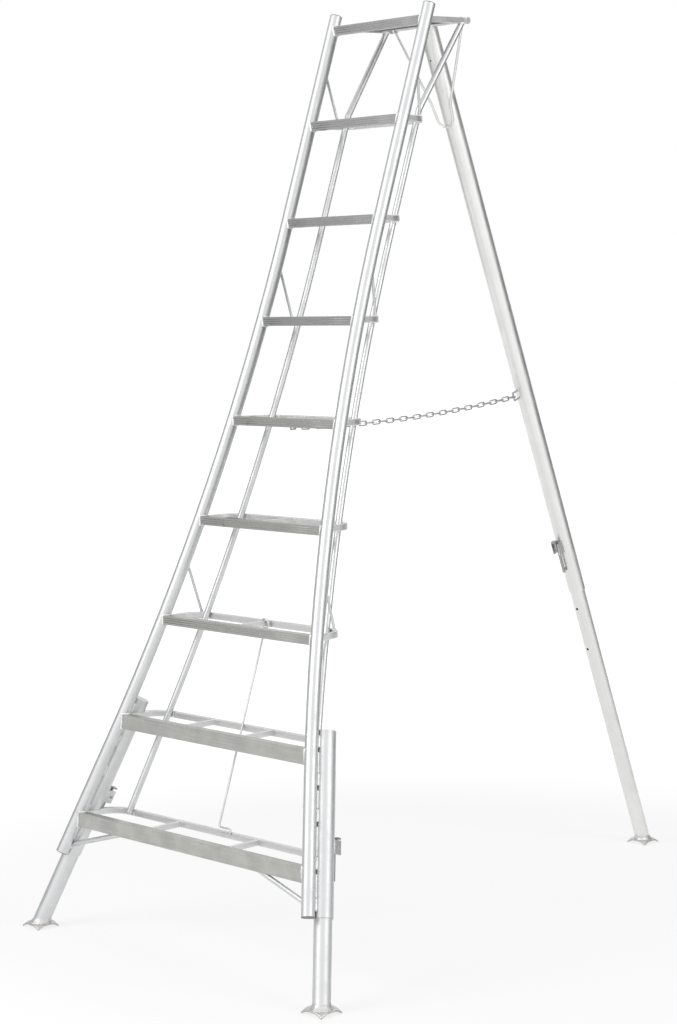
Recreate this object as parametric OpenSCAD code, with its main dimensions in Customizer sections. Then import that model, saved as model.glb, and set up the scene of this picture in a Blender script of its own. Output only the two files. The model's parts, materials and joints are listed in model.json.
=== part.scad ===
// Cherry picking ladder: a three-legged aluminium orchard ladder. Two bell-bottomed stiles carry
// eight open treads and a platform, a telescopic pole hinges on the platform's rear edge, and a
// chain stops the pole at its open angle. Both stile feet and the pole slide out to suit a slope.
// Millimetres, +Z up, the climbing side towards -Y, origin on the ground midway between the feet.

/* [Ladder] */
// Height of the bottom tread's top above the ground
first_tread_h = 367; // [355:1:390]
// Rise from one tread to the next
tread_rise = 300; // [285:1:315]
// Lean of the ladder's plane from the vertical, in degrees
lean = 18.15; // [17:0.05:19.5]
// Upward tilt of every tread towards its back, in degrees
tread_tilt = 1; // [0:0.1:2.5]
// Upward tilt of the platform towards its back, in degrees
platform_tilt = 4; // [3:0.1:5]
// Half the distance between the stiles at the platform
top_half_span = 197.5; // [185:0.5:215]
// Distance down the stile from the platform to the start of its bend
bend_start = 640; // [610:1:670]
// Radius of the stile's outward bend
bend_radius = 5930; // [5700:10:6200]
// Angle of the straight lower end of the stile in the ladder's plane, in degrees
splay = 16.25; // [15.7:0.05:16.8]
// Outside diameter of the stiles
stile_d = 38; // [36:0.5:40]
// Wall of the stiles
stile_wall = 2; // [1.5:0.1:3]
// Length of stile that stands above the platform
stile_over = 33; // [25:1:45]
// Drop from the bottom tread's top to the stiles' lower ends
stile_drop = 124.5; // [115:0.5:135]

/* [Treads] */
// Height of the front bars of the platform and the six upper treads
bar_h = 27; // [24:1:32]
// Height of the front bars of the two bottom treads
low_bar_h = 44; // [40:1:48]
// Depth of every front bar from front to back
bar_depth = 25; // [22:1:28]
// Wall of the front bars
bar_wall = 2.2; // [1.6:0.1:3]
// Distance of the front bars' face ahead of the stile's axis
bar_front = 17; // [14:0.5:19]
// Distance of the hoop's rear run behind the stile's axis
hoop_back = 126; // [118:1:136]
// Thickness of the hoop's bar
hoop_t = 14; // [12:0.5:16]
// Height of the hoop's bar
hoop_h = 20; // [17:0.5:24]
// Radius of the edges of the hoop's bar
hoop_edge_r = 3.5; // [2:0.5:5]
// Radius of the hoop's corners, to the middle of the bar
hoop_bend_r = 66; // [58:1:72]
// Distance of the hoop's arms inside the stile's axis
hoop_in = 15; // [14.5:0.5:18]
// Width of the ties between a front bar and its hoop
tie_w = 13; // [10:0.5:16]
// Height of the ties
tie_h = 15; // [12:0.5:18]
// Distance of the ties from the middle of the seventh tread
tie_x_7 = 125; // [110:1:140]
// Distance of the ties from the middle of the eighth tread
tie_x_8 = 170; // [155:1:185]

/* [Platform] */
// Distance of the pole's hinge behind the stile's axis
hinge_back = 217; // [208:1:230]
// Height of the hinge's axis below the platform's top
hinge_drop = 8; // [5:0.5:12]
// Diameter of the hinge rod
hinge_rod_d = 12; // [10:0.5:14]
// Distance of the platform's rails inside the stiles' axes
rail_in = 37.5; // [33.5:0.5:41.5]
// Width of the platform's rails
rail_w = 14; // [12:0.5:18]
// Height of the platform's rails
rail_h = 17; // [15:0.5:20]
// Radius of the round lugs at the rails' rear ends
lug_r = 11; // [10:0.5:13]
// Thickness of the platform's deck
deck_t = 4; // [3:0.5:6]
// Gap from the deck's rear edge to the hinge's axis
deck_clear = 42; // [40:1:55]

/* [Stringers and braces] */
// Outside diameter of the rear stringers
stringer_d = 19; // [17:0.5:21]
// Wall of the rear stringers
stringer_wall = 2; // [1.5:0.1:2.5]
// Distance of the stringers inside the stiles' axes above their bend
stringer_in = 46.5; // [42.5:0.5:50.5]
// Radius of the stringers' outward bend
stringer_radius = 6900; // [6600:10:7200]
// Angle of the stringers' straight lower ends in the ladder's plane, in degrees
stringer_splay = 12.7; // [12.2:0.05:13.2]
// Diameter of the brace rods
brace_d = 8; // [6:0.5:10]
// Distance of a brace rod's lower end outside the stringer
brace_out = 21; // [17:0.5:25]
// Diameter of the struts under the bottom tread
strut_d = 15; // [12:0.5:17]
// Height of the struts' outer ends above the stiles' lower ends
strut_up = 24; // [20:1:34]
// Length of bottom tread outside the struts' inner ends
strut_run = 240; // [210:1:270]

/* [Legs] */
// Outside diameter of the leg sleeves and the pole
sleeve_d = 57; // [55:0.5:59]
// Wall of the leg sleeves and the pole
sleeve_wall = 2.8; // [2.4:0.1:3.2]
// Gap between a sleeve and the leg that slides in it
slide_gap = 0.3; // [0.25:0.05:0.4]
// Length of the leg sleeves
sleeve_len = 521; // [500:1:540]
// Turn of a sleeve behind its stile towards the outside, in degrees
sleeve_turn = 15; // [11:0.5:20]
// Wall of the sliding legs
leg_wall = 2.5; // [2:0.1:3]
// Length of leg inside its sleeve
leg_in = 350; // [330:1:365]

/* [Pole] */
// Lean of the pole from the vertical, in degrees
pole_lean = 22.57; // [21.5:0.01:23.5]
// Length of pole above the hinge's axis
pole_over = 20; // [17:0.5:22]
// Length of the outer pole below the hinge's axis
pole_len = 1983; // [1940:1:2030]
// Length of the inner pole inside the outer one
pole_in = 900; // [860:1:950]
// Distance from the hinge to the small hole in the pole's head
head_hole_down = 105; // [90:1:120]
// Diameter of the small hole in the pole's head
head_hole_d = 6; // [4:0.5:8]
// Diameter of the stay's rod
stay_d = 8; // [7:0.5:9]
// Distance of the stay's eyes inside the platform's rails
stay_in = 20; // [15:1:26]
// Inside radius of the stay's loop in front of the pole
stay_loop_r = 29; // [27:0.5:33]
// Distance from the hinge to the bottom of the stay's loop
stay_len = 319; // [300:1:335]
// Height of the sides of the stay's loop
stay_side = 45; // [36:1:56]
// Outward flare of the loop's sides over their height
stay_flare = 7; // [3:0.5:10]

/* [Locks] */
// Pitch of the lock holes in the pole
pole_hole_pitch = 157; // [150:1:160]
// Pitch of the lock holes in the legs
leg_hole_pitch = 75; // [70:1:80]
// Height of the pole's lock hole above the outer pole's lower end
pole_lock_up = 94; // [83:1:105]
// Height of the leg locks' holes above the sleeves' lower ends
leg_lock_up = 115; // [105:1:125]
// Length of a latch from its pivot to its nose
latch_len = 85; // [78:1:92]
// Diameter of a latch's nose
nose_d = 8; // [7:0.5:9]
// Diameter of a latch's pivot
pivot_d = 6; // [5:0.5:7]
// Distance of a latch's pivot from the tube
pivot_out = 15; // [14:0.5:18]

/* [Feet] */
// Side of a foot's square plate
foot_side = 78; // [75:1:84]
// Thickness of a foot's plate
foot_t = 4; // [3:0.5:5]
// Distance of the corners' folds from the middle of the foot
foot_fold = 30; // [29:0.5:33]
// Angle at which the corners are folded down, in degrees
claw_angle = 26; // [22:1:32]

/* [Chain and hook] */
// Diameter of the chain's wire
chain_wire = 4; // [3:0.5:4.5]
// Nominal pitch of the chain
chain_pitch = 30; // [28:0.5:33]
// Outside width of a chain link
link_w = 17; // [16:0.5:19]
// Sag of the chain at its middle
chain_sag = 20; // [12:1:24]
// Distance from the hinge to the pole's chain staple
staple_down = 1238; // [1210:1:1260]
// Diameter of the hook's rod
hook_d = 6; // [5:0.5:7]
// Length of the hook's return
hook_run = 44; // [36:1:50]

/* [Hidden] */
$fn = 48;
// Facets of a full turn of the long bends
bend_fn = 720;
// Overrun of every cut
cut_over = 2;
// Gap that a weld fills between two welded pieces
weld_gap = 0.3;
// Clearance round a turning pin
pin_gap = 0.06;
tread_count = 8;
last_plain_tread = 6;
chain_tread = 4;
hook_tread = 6;
low_tread = 7;
kink_tread = 1;

top_z = first_tread_h + tread_count * tread_rise;
stile_end = (top_z - first_tread_h + stile_drop) / cos(lean);
rail_x = top_half_span - rail_in;
stringer_half = top_half_span - stringer_in;
stay_eye_x = rail_x - stay_in;
pole_lock_down = pole_len - pole_lock_up;

// Half span and turn of a bent tube at a distance down the ladder's plane
function turn_on(d, radius, angle) =
    d <= bend_start ? 0 : d >= bend_start + radius * sin(angle) ? angle : asin((d - bend_start) / radius);
function span_on(d, half, radius, angle) =
    half + radius * (1 - cos(turn_on(d, radius, angle)))
    + max(0, d - bend_start - radius * sin(angle)) * tan(angle);
function stile_turn(d) = turn_on(d, bend_radius, splay);
function stringer_turn(d) = turn_on(d, stringer_radius, stringer_splay);
function stile_span(d) = span_on(d, top_half_span, bend_radius, splay);
function stringer_span(d) = span_on(d, stringer_half, stringer_radius, stringer_splay);
function slope_at(k) = k * tread_rise / cos(lean);
function bar_height(k) = k >= low_tread ? low_bar_h : bar_h;
function tilt_of(k) = k == 0 ? platform_tilt : tread_tilt;
function arm_x(k) = stile_span(slope_at(k)) - hoop_in;

// A point in the ladder's plane frame, from the stile's axis at the platform
function from_plane(p) =
    [p[0], p[1] * cos(lean) + p[2] * sin(lean), p[2] * cos(lean) - p[1] * sin(lean)];
// A point in a frame that is turned by an angle about X
function tipped(p, angle) =
    [p[0], p[1] * cos(angle) - p[2] * sin(angle), p[1] * sin(angle) + p[2] * cos(angle)];

// The folded corners stand on the ground with the points of their tips cut flat
foot_h = (foot_side * cos(45) - foot_fold) * tan(claw_angle) + foot_t / 2;

sleeve_r = sleeve_d / 2;
bore_r = sleeve_r - sleeve_wall;
leg_r = bore_r - slide_gap;
// The sleeve is straight, so its top clears the end of the stile's bend
bend_sag = pow(max(0, sleeve_len - (stile_end - bend_start - bend_radius * sin(splay)) / cos(splay)), 2)
    / (2 * bend_radius);
sleeve_off = stile_d / 2 + sleeve_r + weld_gap + bend_sag * sin(sleeve_turn);
leg_start = [
    stile_span(stile_end) + sleeve_off * sin(sleeve_turn) * cos(splay),
    sleeve_off * cos(sleeve_turn),
    sleeve_off * sin(sleeve_turn) * sin(splay) - stile_end
];
leg_top = from_plane(leg_start);
leg_reach = (top_z + leg_top[2] - foot_h) / (cos(splay) * cos(lean));
foot_x = leg_top[0] + leg_reach * sin(splay);
leg_foot_rel = leg_top[1] - leg_reach * cos(splay) * sin(lean);
hinge_rel = tipped([0, hinge_back, -hinge_drop], platform_tilt);
hinge_z = top_z + hinge_rel[2];
pole_reach = (hinge_z - foot_h) / cos(pole_lean);
pole_foot_rel = hinge_rel[1] + pole_reach * sin(pole_lean);
// The origin lies midway between the front feet and the rear foot
top_y = -(leg_foot_rel + pole_foot_rel) / 2;
hinge_y = top_y + hinge_rel[1];
foot_y = top_y + leg_foot_rel;
pole_foot_y = top_y + pole_foot_rel;

function tread_to_row(k, p) =
    [0, top_y - k * tread_rise * tan(lean), top_z - k * tread_rise] + tipped(p, tilt_of(k));
function plane_to_row(p) = [0, top_y, top_z] + from_plane(p);
function pole_to_row(p) = [0, hinge_y, hinge_z] + tipped(p, pole_lean);

// Distance of the stringers' axes behind the ladder's plane, clear of the hoops' inner edges
hoop_edge = hoop_back - hoop_t / 2;
arm_len = hoop_back - hoop_bend_r;
arm_front = bar_depth - bar_front + weld_gap;
stringer_back = hoop_edge * cos(lean + tread_tilt) - stringer_d / 2 - weld_gap;
function crossing_at(k) = slope_at(k) - hoop_edge * sin(lean + tread_tilt);
stringer_foot = crossing_at(tread_count) + hoop_h / 2;
kink_slope = crossing_at(kink_tread) - hoop_h;
// Share of the way from the hinge to the deck at which a stringer meets its rail
stringer_top_share = 0.5;
stringer_top = tread_to_row(0, [rail_x, hinge_back - deck_clear * stringer_top_share, -rail_h]);
// Shares of the bays at which the braces leave the stiles, and the treads that they run down to
brace_top_share = 0.43;
brace_treads = [1, 3, 6];

// Links of the chain, an odd number so that both end links lie flat
anchor_d = 5;
anchor_y = 36;
anchor_w = 19;
anchor_drop = 15;
staple_d = 6;
staple_out = 29;
staple_h = 26;
link_gap = 0.3;
bar_gap = 0.9;
chain_from = tread_to_row(chain_tread, [0, anchor_y, -tie_h - anchor_drop]);
chain_to = pole_to_row([0, -sleeve_r - staple_out, -staple_down]);
chain_span = norm(chain_to - chain_from);
link_steps = 2 * round((chain_span / chain_pitch - 1) / 2);
link_pitch = (chain_span + anchor_d / 2 + staple_d / 2 + 2 * (bar_gap - link_gap)) / (link_steps + 1);
link_bow = (link_w - chain_wire) / 2;
link_side = link_pitch + 2 * link_gap + 2 * chain_wire - link_w;

hinge_head_t = 3.5;
hinge_head_d = hinge_rod_d + 2 * hinge_head_t;

// Latch
ear_t = 3;
ear_gap = 24;
ear_h = 40;
ear_depth = 24;
latch_w = 9;
latch_t = 5;
boss_d = 13;
thumb_up = 30;
thumb_w = 16;
// Share of the pivot's distance at which the latch's arm runs
arm_share = 0.55;
// Lock holes on each side of the middle one
hole_steps = 2;
nose_clear = 1.2;
hole_clear = 0.6;
pivot_y = sleeve_r + pivot_out;
spring_wire = 1.2;
spring_turns = 3;
spring_steps = 8;
spring_sides = 6;
spring_r = boss_d / 2 - spring_wire / 2;
spring_room = (ear_gap - latch_w) / 2;
spring_pitch = (spring_room - 2 * weld_gap - spring_wire) / spring_turns;

// Hook: its eye hangs on the tie's top corners, and its rod clears the hoops' inner edges
hook_eye_r = 14;
hook_bend_r = 8.5;
hook_up = 49;
hook_eye_drop = sqrt(pow(hook_eye_r - hook_d / 2 - weld_gap, 2) - pow(tie_w / 2, 2));
hook_back = hoop_edge * cos(lean + tread_tilt) - hook_d / 2 - weld_gap;
hook_eye_low = hook_eye_drop + hook_eye_r;
hook_y = (hook_back - hook_eye_low * sin(lean + tread_tilt)) / cos(lean + tread_tilt);
hook_from = slope_at(hook_tread) - hook_y * sin(lean + tread_tilt) + hook_eye_low * cos(lean + tread_tilt);

metal = [0.80, 0.81, 0.82];
dull_metal = [0.66, 0.67, 0.69];
galvanised = [0.58, 0.59, 0.60];
plug_grey = [0.50, 0.50, 0.51];

TREADS = [1:tread_count];

// Frames

// Sets a right-hand piece on the left as well
module on_side(side) {
    mirror([side < 0 ? 1 : 0, 0, 0]) children();
}

// The ladder's plane, from the stile's axis at the platform, +Z up the slope and +Y behind it
module ladder_plane() {
    translate([0, top_y, top_z]) rotate([-lean, 0, 0]) children();
}

// A tread, from its top on the stile's axis
module tread_frame(k) {
    translate(tread_to_row(k, [0, 0, 0])) rotate([tilt_of(k), 0, 0]) children();
}

// The right stile's lower end, +Z up the stile
module stile_foot_frame() {
    ladder_plane() translate([stile_span(stile_end), 0, -stile_end]) rotate([0, -splay, 0]) children();
}

// A leg's axis at its sleeve's lower end
module leg_frame(side) {
    on_side(side) stile_foot_frame()
        translate([sleeve_off * sin(sleeve_turn), sleeve_off * cos(sleeve_turn), 0]) children();
}

// The pole's axis at its hinge, -Z down the pole and -Y towards the ladder
module pole_frame() {
    translate([0, hinge_y, hinge_z]) rotate([pole_lean, 0, 0]) children();
}

// A lock's pivot height on its tube's axis, +Y out of the tube
module leg_lock_frame(side) {
    leg_frame(side) translate([0, 0, leg_lock_up + latch_len]) children();
}
module pole_lock_frame() {
    pole_frame() translate([0, 0, latch_len - pole_lock_down]) rotate([0, 0, 180]) children();
}

// Shapes that repeat

// A straight round rod between two points
module rod(from, to, d) {
    v = to - from;
    translate(from) rotate([0, acos(v[2] / norm(v)), atan2(v[1], v[0])]) cylinder(d = d, h = norm(v));
}

// The welded ball where two rods meet at an angle
module knuckle(at, d) {
    translate(at) sphere(d = d + weld_gap);
}

// A solid tube that runs down the ladder's plane, straight, bent outwards and straight again
module bent_rod(d_from, d_to, half, radius, angle, d) {
    out = half + radius * (1 - cos(angle));
    bend_end = bend_start + radius * sin(angle);
    low_len = (d_to - bend_end) / cos(angle);
    translate([half, 0, -bend_start]) cylinder(d = d, h = bend_start - d_from);
    translate([half + radius, 0, -bend_start]) rotate([90, 0, 0]) rotate([0, 0, 180])
        rotate_extrude(angle = angle, $fn = bend_fn) translate([radius, 0]) circle(d = d, $fn = 48);
    translate([out, 0, -bend_end]) rotate([0, -angle, 0]) translate([0, 0, -low_len])
        cylinder(d = d, h = low_len);
}

// The stile's outside at one distance down the slope, to cope pieces against it
module stile_cutter(side, d) {
    on_side(side) ladder_plane() translate([stile_span(d), 0, -d]) rotate([0, -stile_turn(d), 0])
        cylinder(r = stile_d / 2 + weld_gap, h = tread_rise, center = true);
}

module sleeve_cutter(side) {
    leg_frame(side) translate([0, 0, -cut_over])
        cylinder(r = sleeve_r + weld_gap, h = sleeve_len + 2 * cut_over);
}

// A square with rounded corners, its top edge on the X axis
module bar_section(w, h, r) {
    translate([r - w / 2, -h]) square([w - 2 * r, h]);
    translate([-w / 2, r - h]) square([w, h - 2 * r]);
    for (x = [r - w / 2, w / 2 - r]) {
        for (y = [-r, r - h]) {
            translate([x, y]) circle(r);
        }
    }
}

// A front bar: a square tube that is coped to both stiles
module front_bar(k) {
    half = stile_span(slope_at(k));
    h = bar_height(k);
    difference() {
        tread_frame(k) difference() {
            translate([-half, -bar_front, -h]) cube([2 * half, bar_depth, h]);
            translate([-half - cut_over, bar_wall - bar_front, bar_wall - h])
                cube([2 * half + 2 * cut_over, bar_depth - 2 * bar_wall, h - 2 * bar_wall]);
        }
        stile_cutter(1, slope_at(k));
        stile_cutter(-1, slope_at(k));
    }
}

// The stringer's outside where it crosses a tread, to notch the upper hoops' bends round it
module stringer_cutter(side, d) {
    on_side(side) ladder_plane() translate([stringer_span(d), stringer_back, -d])
        rotate([0, -stringer_turn(d), 0])
        cylinder(r = stringer_d / 2 + weld_gap, h = 4 * hoop_h, center = true);
}

// A bar bent to a hoop behind a tread, coped to the stiles and clear of the sleeves and stringers
module hoop(k) {
    run = arm_x(k) - hoop_bend_r;
    difference() {
        tread_frame(k) union() {
            for (side = [-1, 1]) {
                on_side(side) translate([arm_x(k), arm_len, 0]) rotate([90, 0, 0])
                    linear_extrude(arm_len - arm_front) bar_section(hoop_t, hoop_h, hoop_edge_r);
                on_side(side) translate([run, arm_len, 0]) rotate_extrude(angle = 90, $fn = 96)
                    translate([hoop_bend_r, 0]) bar_section(hoop_t, hoop_h, hoop_edge_r, $fn = 24);
                on_side(side) translate([0, hoop_back, 0]) rotate([90, 0, 90])
                    linear_extrude(run) bar_section(hoop_t, hoop_h, hoop_edge_r);
            }
        }
        for (side = [-1, 1]) {
            stile_cutter(side, slope_at(k));
            if (k > last_plain_tread) sleeve_cutter(side);
            if (stringer_span(crossing_at(k)) > run) stringer_cutter(side, crossing_at(k));
        }
    }
}

// Straight ties from a front bar's back to its hoop
module ties(k, places) {
    front = bar_depth - bar_front;
    tread_frame(k) for (x = places) {
        translate([x - tie_w / 2, front, -tie_h]) cube([tie_w, hoop_edge - front, tie_h]);
    }
}

// Pieces of the ladder's frame

module stile(side) {
    color(metal) on_side(side) ladder_plane() difference() {
        bent_rod(-stile_over, stile_end, top_half_span, bend_radius, splay, stile_d);
        bent_rod(-stile_over - cut_over, stile_end + cut_over, top_half_span, bend_radius, splay,
            stile_d - 2 * stile_wall);
    }
}

// Plugs that close both ends of the stiles: a flange on the tube's end and a spigot inside it
module stile_plugs() {
    flange = stile_wall;
    spigot = stile_d / 2;
    color(plug_grey) for (side = [-1, 1]) {
        on_side(side) ladder_plane() translate([top_half_span, 0, stile_over]) {
            cylinder(d = stile_d, h = flange);
            translate([0, 0, -spigot]) cylinder(r = stile_d / 2 - stile_wall - weld_gap, h = spigot);
        }
        on_side(side) stile_foot_frame() {
            translate([0, 0, -flange]) cylinder(d = stile_d, h = flange);
            cylinder(r = stile_d / 2 - stile_wall - weld_gap, h = spigot);
        }
    }
}

module tread_bar(k) {
    color(dull_metal) front_bar(k);
}

module tread_hoop(k) {
    color(metal) hoop(k);
}

module tread_ties(k, places) {
    color(metal) ties(k, places);
}

// Deck between the rails, with its rear edge clear of the pole's head
module platform_deck() {
    front = bar_depth - bar_front;
    half = rail_x - rail_w / 2;
    rib = 2 * deck_t;
    color(dull_metal) tread_frame(0) {
        translate([-half, front, -deck_t]) cube([2 * half, hinge_back - deck_clear - front, deck_t]);
        translate([-half, hinge_back - deck_clear - deck_t, -rib - deck_t]) cube([2 * half, deck_t, rib]);
    }
}

// Rails from the front bar to the hinge, each with a round lug for the hinge rod
module platform_rails() {
    front = bar_depth - bar_front;
    color(metal) tread_frame(0) for (side = [-1, 1]) {
        on_side(side) difference() {
            union() {
                translate([rail_x - rail_w / 2, front, -rail_h]) cube([rail_w, hinge_back - front, rail_h]);
                translate([rail_x - rail_w / 2, hinge_back, -hinge_drop]) rotate([0, 90, 0])
                    cylinder(r = lug_r, h = rail_w);
            }
            translate([rail_x - rail_w, hinge_back, -hinge_drop]) rotate([0, 90, 0])
                cylinder(r = hinge_rod_d / 2 + pin_gap, h = 2 * rail_w);
            translate([rail_x - rail_w, hinge_back - lug_r, 0]) cube([2 * rail_w, 3 * lug_r, lug_r]);
        }
    }
}

// Rod through both rails, the pole's head and the stay's eyes, with a head outside each rail
module hinge_rod() {
    half = rail_x + rail_w / 2 + pin_gap;
    color(galvanised) tread_frame(0) translate([0, hinge_back, -hinge_drop]) rotate([0, 90, 0]) {
        cylinder(d = hinge_rod_d, h = 2 * half, center = true);
        for (z = [half, -half - hinge_head_t]) {
            translate([0, 0, z]) cylinder(d = hinge_head_d, h = hinge_head_t);
        }
    }
}

// Stringer along the hoops' inner edges, with a kinked upper end that meets the platform's rail
module stringer(side) {
    kink = plane_to_row([stringer_half, stringer_back, -kink_slope]);
    reach = stringer_top + (stringer_top - kink) * cut_over * stringer_d / norm(stringer_top - kink);
    color(metal) on_side(side) difference() {
        stringer_run(kink, reach, stringer_d);
        stringer_run(kink, reach, stringer_d - 2 * stringer_wall);
        tread_frame(0) translate([0, 0, -rail_h]) cube([2 * rail_x, 2 * hinge_back, tread_rise]);
    }
}

module stringer_run(kink, reach, d) {
    ladder_plane() translate([0, stringer_back, 0])
        bent_rod(kink_slope, stringer_foot, stringer_half, stringer_radius, stringer_splay, d);
    knuckle(kink, d);
    rod(kink, reach, d);
}

// Brace rods from the stile down to the hoop's corner beside the stringer
module braces(side) {
    color(metal) for (k = brace_treads) {
        from_d = slope_at(k - 1 + brace_top_share);
        from = plane_to_row([stile_span(from_d), 0, -from_d]);
        low_x = stringer_span(slope_at(k)) + brace_out;
        bow = max(0, low_x - arm_x(k) + hoop_bend_r);
        low_y = arm_len + sqrt(pow(hoop_bend_r, 2) - pow(bow, 2));
        to = tread_to_row(k, [low_x, low_y, -hoop_h / 2]);
        difference() {
            on_side(side) rod(from, to, brace_d);
            stile_cutter(side, from_d);
            on_side(side) tread_frame(k) translate([0, 0, weld_gap - tread_rise])
                cube([2 * low_x, 2 * hoop_back, tread_rise]);
        }
    }
}

// Strut from the back of the stile's lower end to the underside of the bottom tread
module strut(side) {
    from_d = stile_end - strut_up / cos(lean);
    from = plane_to_row([stile_span(from_d), stile_d / 2, -from_d]);
    to_x = stile_span(slope_at(tread_count)) - strut_run;
    to = tread_to_row(tread_count, [to_x, bar_depth / 2 - bar_front, strut_d - low_bar_h]);
    color(metal) difference() {
        on_side(side) rod(from, to, strut_d);
        stile_cutter(side, from_d);
        sleeve_cutter(side);
        on_side(side) tread_frame(tread_count) translate([0, -tread_rise / 2, -low_bar_h])
            cube([2 * to_x, tread_rise, tread_rise]);
    }
}

// Pieces of the telescopic legs

// Sleeve behind the stile, closed at its top and drilled for the latch
module sleeve(side) {
    color(metal) leg_frame(side) difference() {
        cylinder(r = sleeve_r, h = sleeve_len);
        translate([0, 0, -cut_over]) cylinder(r = bore_r, h = sleeve_len - sleeve_wall + cut_over);
        translate([0, 0, leg_lock_up]) rotate([-90, 0, 0])
            cylinder(d = nose_d + 2 * nose_clear, h = sleeve_d);
    }
}

// Leg with a row of lock holes in its back, cut level where it stands on its foot
module leg(side) {
    color(metal) difference() {
        leg_frame(side) difference() {
            translate([0, 0, -leg_reach - sleeve_d]) cylinder(r = leg_r, h = leg_reach + sleeve_d + leg_in);
            translate([0, 0, -leg_reach - 2 * sleeve_d])
                cylinder(r = leg_r - leg_wall, h = leg_reach + 3 * sleeve_d + leg_in);
            for (i = [-hole_steps:hole_steps]) {
                translate([0, 0, leg_lock_up + i * leg_hole_pitch]) rotate([-90, 0, 0])
                    cylinder(d = nose_d + 2 * hole_clear, h = sleeve_d);
            }
        }
        translate([side * foot_x - sleeve_d * 2, foot_y - sleeve_d * 2, foot_h - sleeve_d * 4])
            cube(sleeve_d * 4);
    }
}

// Square plate whose four corners fold down to claws
module foot() {
    difference() {
        intersection() {
            translate([-foot_side / 2, -foot_side / 2, 0]) cube([foot_side, foot_side, foot_h + cut_over]);
            claw_roof(foot_fold, foot_h);
        }
        claw_roof(foot_fold - foot_t * tan(claw_angle / 2), foot_h - foot_t);
    }
}

// A block with a flat square top between its folds, and a slope down from each fold
module claw_roof(fold, top) {
    low = top - (foot_side - fold) * tan(claw_angle);
    intersection_for (a = [45, 135]) {
        rotate(a) rotate([90, 0, 0]) linear_extrude(2 * foot_side, center = true)
            polygon([[-foot_side, low], [-fold, top], [fold, top], [foot_side, low]]);
    }
}

module leg_foot(side) {
    color(metal) translate([side * foot_x, foot_y, 0]) foot();
}

// Locks

// Two ears and the pivot that is riveted across them
module lock_bracket() {
    outer = ear_gap + 2 * ear_t;
    color(galvanised) difference() {
        union() {
            for (x = [-outer / 2, ear_gap / 2]) {
                translate([x, 0, -ear_h / 2]) cube([ear_t, sleeve_r + ear_depth, ear_h]);
            }
            translate([-outer / 2 - ear_t / 2, pivot_y, 0]) rotate([0, 90, 0])
                cylinder(d = pivot_d, h = outer + ear_t);
        }
        translate([0, 0, -ear_h]) cylinder(r = sleeve_r + weld_gap, h = 2 * ear_h);
    }
}

// Lever on the pivot: a thumb tab above it, an arm below it and a nose that enters the tube
module latch() {
    arm_y = sleeve_r + pivot_out * arm_share;
    nose_y = leg_r + slide_gap;
    color(metal) difference() {
        union() {
            translate([-latch_w / 2, pivot_y, 0]) rotate([0, 90, 0]) cylinder(d = boss_d, h = latch_w);
            translate([-latch_w / 2, arm_y, -latch_len - nose_d]) cube([latch_w, latch_t, latch_len + nose_d]);
            translate([-latch_w / 2, pivot_y, 0]) cube([latch_w, latch_t, thumb_up]);
            translate([-thumb_w / 2, pivot_y, thumb_up - latch_t]) cube([thumb_w, pivot_out, latch_t]);
            translate([0, nose_y, -latch_len]) rotate([-90, 0, 0])
                cylinder(d = nose_d, h = arm_y - nose_y + latch_t / 2);
        }
        translate([-latch_w, pivot_y, 0]) rotate([0, 90, 0])
            cylinder(r = pivot_d / 2 + pin_gap, h = 2 * latch_w);
    }
}

// Torsion spring: one coil on each side of the latch, round the pivot
function coil_angle(i) = 360 * i / spring_steps;
function coil_point(i) = [
    latch_w / 2 + weld_gap + spring_wire / 2 + spring_pitch * i / spring_steps,
    pivot_y + spring_r * cos(coil_angle(i)),
    spring_r * sin(coil_angle(i))
];
function coil_ring(i, at) = [for (j = [0:spring_sides - 1])
    let (a = 360 * j / spring_sides)
    at + spring_wire / 2 * [sin(a), cos(a) * cos(coil_angle(i)), cos(a) * sin(coil_angle(i))]];
coil_last = spring_turns * spring_steps;
coil_points = [for (i = [0:coil_last]) coil_point(i)];
coil_gap = min([for (i = [0:coil_last - spring_steps]) norm(coil_points[i + spring_steps] - coil_points[i])])
    - spring_wire;
echo(least_gap_in_latch_spring = coil_gap);

module coil() {
    tail = [0, 0, -spring_wire];
    rings = concat(
        coil_ring(0, coil_point(0) + tail),
        [for (i = [0:coil_last]) each coil_ring(i, coil_points[i])],
        coil_ring(coil_last, coil_points[coil_last] - tail)
    );
    last = coil_last + 2;
    sides = [for (i = [0:last - 1]) for (j = [0:spring_sides - 1])
        let (a = i * spring_sides + j, b = i * spring_sides + (j + 1) % spring_sides)
        each [[a, b, b + spring_sides], [a, b + spring_sides, a + spring_sides]]];
    ends = [for (j = [1:spring_sides - 2])
        each [[0, j + 1, j], [last * spring_sides, last * spring_sides + j, last * spring_sides + j + 1]]];
    polyhedron(rings, concat(sides, ends));
}

module latch_spring() {
    color(galvanised) for (side = [-1, 1]) {
        on_side(side) coil();
    }
}

// Pieces of the pole

// Outer pole, drilled across its head for the hinge rod and in its front for the latch
module pole_tube() {
    color(metal) pole_frame() difference() {
        translate([0, 0, -pole_len]) cylinder(r = sleeve_r, h = pole_len + pole_over);
        translate([0, 0, -pole_len - cut_over]) cylinder(r = bore_r, h = pole_len + pole_over + 2 * cut_over);
        rotate([0, 90, 0]) cylinder(r = hinge_rod_d / 2 + pin_gap, h = 2 * sleeve_d, center = true);
        translate([0, 0, -pole_lock_down]) rotate([90, 0, 0])
            cylinder(d = nose_d + 2 * nose_clear, h = sleeve_d);
        translate([0, 0, -head_hole_down]) rotate([90, 0, 0]) cylinder(d = head_hole_d, h = sleeve_d);
    }
}

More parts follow.
